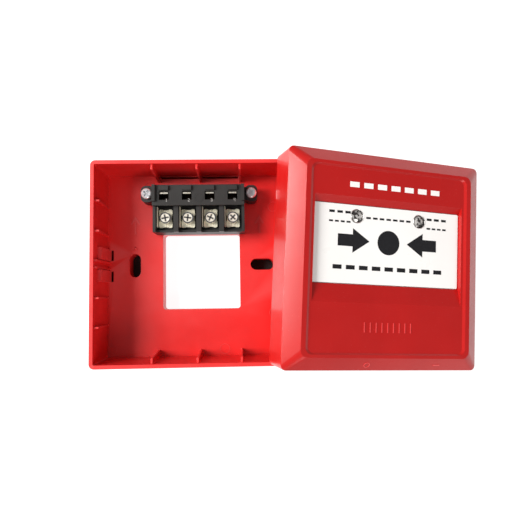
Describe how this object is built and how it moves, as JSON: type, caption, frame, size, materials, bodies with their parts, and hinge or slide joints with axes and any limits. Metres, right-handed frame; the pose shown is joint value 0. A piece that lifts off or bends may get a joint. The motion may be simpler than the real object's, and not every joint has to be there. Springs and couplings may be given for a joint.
{
  "type": "manual fire call point",
  "caption": "Resettable manual fire call point, opened for wiring: a back box with a terminal block, and a front unit with a press plate, leaning on the box.",
  "frame": {"origin": "middle of the whole assembly's footprint, at table height, with the back box lying on its back and the front unit leaning on its right wall", "axes": "+Z out of the back box's open face, which is up on the table and is away from the wall once the box is fixed; +Y is up on the wall; +X is to the right for a person who faces the mounted box"},
  "size_m": [0.1874, 0.1032, 0.0561],
  "materials": {
    "box_red": "fine satin",
    "cover_red": "fine grain",
    "rear_red": "satin",
    "block_black": "satin",
    "plate_white": "smooth",
    "lens_clear": "clear",
    "light_resin": "smooth",
    "board_green": "lacquered",
    "part_black": "moulded",
    "part_white": "moulded",
    "steel_bright": "plated",
    "steel_wire": "drawn wire",
    "brass_plated": "pale plated"
  },
  "bodies": {
    "back_box": {"back_box": "box_red", "terminal_block": "block_black", "contact_clip_1": "brass_plated", "contact_clip_2": "brass_plated", "contact_clip_3": "brass_plated", "contact_clip_4": "brass_plated", "clamp_plate_1": "brass_plated", "clamp_plate_2": "brass_plated", "clamp_plate_3": "brass_plated", "clamp_plate_4": "brass_plated", "block_screw_left": "steel_bright", "block_screw_right": "steel_bright"},
    "front_ring": {"jack_bushing": "steel_bright"},
    "front_unit": {"front_cover": "cover_red", "alarm_lens": "lens_clear", "phone_lens": "lens_clear", "alarm_light": "light_resin", "phone_light": "light_resin", "plate_spring_left": "steel_wire", "plate_spring_right": "steel_wire", "circuit_board": "board_green", "processor_chip": "part_black", "capacitor_large": "part_black", "capacitor_small": "part_black", "micro_switch": "part_black", "jack_body": "part_black", "rear_cover": "rear_red", "contact_blade_1": "brass_plated", "contact_blade_2": "brass_plated", "contact_blade_3": "brass_plated", "contact_blade_4": "brass_plated", "rear_screw_1": "steel_bright", "rear_screw_2": "steel_bright", "rear_screw_3": "steel_bright", "rear_screw_4": "steel_bright"},
    "press_plate": {"press_plate": "plate_white"},
    "switch_plunger": {"switch_plunger": "part_white"},
    "reset_barrel": {"reset_barrel": "steel_bright"},
    "latch_slide": {"latch_slide": "part_white"},
    "terminal_screw_1": {"terminal_screw_1": "brass_plated"},
    "terminal_screw_2": {"terminal_screw_2": "brass_plated"},
    "terminal_screw_3": {"terminal_screw_3": "brass_plated"},
    "terminal_screw_4": {"terminal_screw_4": "brass_plated"}
  },
  "joints": [
    {"name": "front_carry", "type": "hinge", "parent": "back_box", "child": "front_ring", "pos_m": [-0.01049, -0.04784, 0.0423], "axis": [-0.0155, -0.9999, 0], "range_deg": [0, 188.72]},
    {"name": "front_level", "type": "hinge", "parent": "front_ring", "child": "front_unit", "pos_m": [0.0312, -0.04848, 0.03591], "axis": [-0.0442, -0.999, 0.0005], "range_deg": [-174.36, 0]},
    {"name": "plate_press", "type": "slide", "parent": "front_unit", "child": "press_plate", "axis": [-0.2483, 0.0143, -0.9686], "range_m": [0, 0.002], "stiffness_N_per_m": 400, "springref_m": -0.001, "deforming": ["plate_spring_left", "plate_spring_right"]},
    {"name": "plunger_press", "type": "slide", "parent": "front_unit", "child": "switch_plunger", "axis": [-0.2483, 0.0143, -0.9686], "range_m": [0, 0.002]},
    {"name": "reset_turn", "type": "hinge", "parent": "front_unit", "child": "reset_barrel", "pos_m": [0.0636, -0.05035, 0.02758], "axis": [-0.0576, -0.9983, 0], "range_deg": [0, 90]},
    {"name": "latch_move", "type": "slide", "parent": "front_unit", "child": "latch_slide", "axis": [-0.967, 0.0558, 0.2487], "range_m": [0, 0.002]},
    {"name": "terminal_screw_1_turn", "type": "hinge", "parent": "back_box", "child": "terminal_screw_1", "pos_m": [-0.06028, 0.02482, 0.0176], "axis": [0, 0, 1], "range_deg": [0, 1080]},
    {"name": "terminal_screw_2_turn", "type": "hinge", "parent": "back_box", "child": "terminal_screw_2", "pos_m": [-0.04908, 0.02482, 0.0176], "axis": [0, 0, 1], "range_deg": [0, 1080]},
    {"name": "terminal_screw_3_turn", "type": "hinge", "parent": "back_box", "child": "terminal_screw_3", "pos_m": [-0.03788, 0.02482, 0.0176], "axis": [0, 0, 1], "range_deg": [0, 1080]},
    {"name": "terminal_screw_4_turn", "type": "hinge", "parent": "back_box", "child": "terminal_screw_4", "pos_m": [-0.02668, 0.02482, 0.0176], "axis": [0, 0, 1], "range_deg": [0, 1080]}
  ],
  "couplings": [
    {"joint": "front_level", "follows": "front_carry", "ratio": -0.92368},
    {"joint": "plunger_press", "follows": "plate_press", "ratio": 1},
    {"joint": "reset_turn", "follows": "latch_move", "rad_per_m": 785.32}
  ]
}
